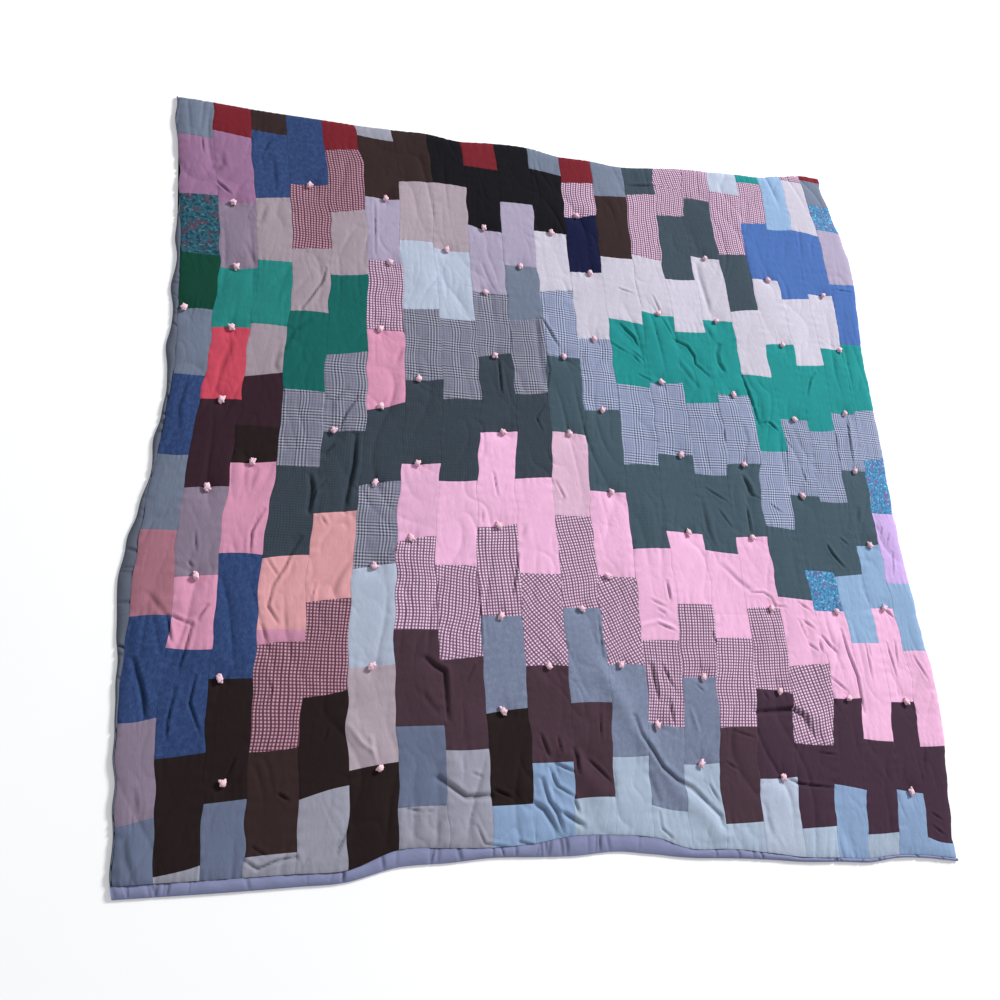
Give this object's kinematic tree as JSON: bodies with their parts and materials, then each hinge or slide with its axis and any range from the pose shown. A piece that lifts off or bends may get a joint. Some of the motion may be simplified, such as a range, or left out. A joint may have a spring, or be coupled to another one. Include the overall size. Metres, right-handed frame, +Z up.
{
  "type": "patchwork quilt",
  "caption": "Scrap patchwork quilt in offset brick strips, tied with wool yarn and bound, spread flat with soft folds.",
  "frame": {"origin": "on the floor, under the middle of the quilt's box", "axes": "+Z up off the floor, out of the pieced face; +Y towards the quilt's top edge; +X across the strips, to the right as seen from above"},
  "size_m": [1.7338, 1.775, 0.0128],
  "materials": {
    "pieced_cloth": "mixed wool and cotton scraps: plains, gingham checks, glen plaid and prints, matte",
    "binding_cloth": "plain periwinkle-grey cotton, matte",
    "wool_yarn": "pink and white wool yarn, fuzzy"
  },
  "bodies": {
    "root": {"pieced_cloth": "pieced_cloth", "binding_left": "binding_cloth", "binding_bottom": "binding_cloth", "tie_02_1": "wool_yarn", "tie_02_2": "wool_yarn", "tie_02_3": "wool_yarn", "tie_02_4": "wool_yarn", "tie_02_5": "wool_yarn", "tie_02_6": "wool_yarn", "tie_06_1": "wool_yarn", "tie_06_2": "wool_yarn", "tie_06_3": "wool_yarn", "tie_06_4": "wool_yarn", "tie_06_5": "wool_yarn", "tie_06_6": "wool_yarn", "tie_06_7": "wool_yarn", "tie_06_8": "wool_yarn", "tie_09_1": "wool_yarn", "tie_09_2": "wool_yarn", "tie_09_3": "wool_yarn", "tie_09_4": "wool_yarn", "tie_09_5": "wool_yarn", "tie_09_6": "wool_yarn", "tie_09_7": "wool_yarn", "tie_12_1": "wool_yarn", "tie_12_2": "wool_yarn", "tie_12_3": "wool_yarn", "tie_12_4": "wool_yarn", "tie_12_5": "wool_yarn", "tie_12_6": "wool_yarn", "tie_12_7": "wool_yarn", "tie_14_1": "wool_yarn", "tie_14_2": "wool_yarn", "tie_14_3": "wool_yarn", "tie_14_4": "wool_yarn", "tie_14_5": "wool_yarn", "tie_14_6": "wool_yarn", "tie_16_1": "wool_yarn", "tie_16_2": "wool_yarn", "tie_16_3": "wool_yarn", "tie_16_4": "wool_yarn", "tie_16_5": "wool_yarn", "tie_16_6": "wool_yarn", "tie_16_7": "wool_yarn", "tie_16_8": "wool_yarn", "tie_18_1": "wool_yarn", "tie_18_2": "wool_yarn", "tie_18_3": "wool_yarn", "tie_18_4": "wool_yarn", "tie_18_5": "wool_yarn", "tie_18_6": "wool_yarn", "tie_20_1": "wool_yarn", "tie_20_2": "wool_yarn", "tie_20_3": "wool_yarn", "tie_20_4": "wool_yarn", "tie_20_5": "wool_yarn", "tie_20_6": "wool_yarn", "tie_20_7": "wool_yarn", "tie_20_8": "wool_yarn"}
  },
  "joints": []
}
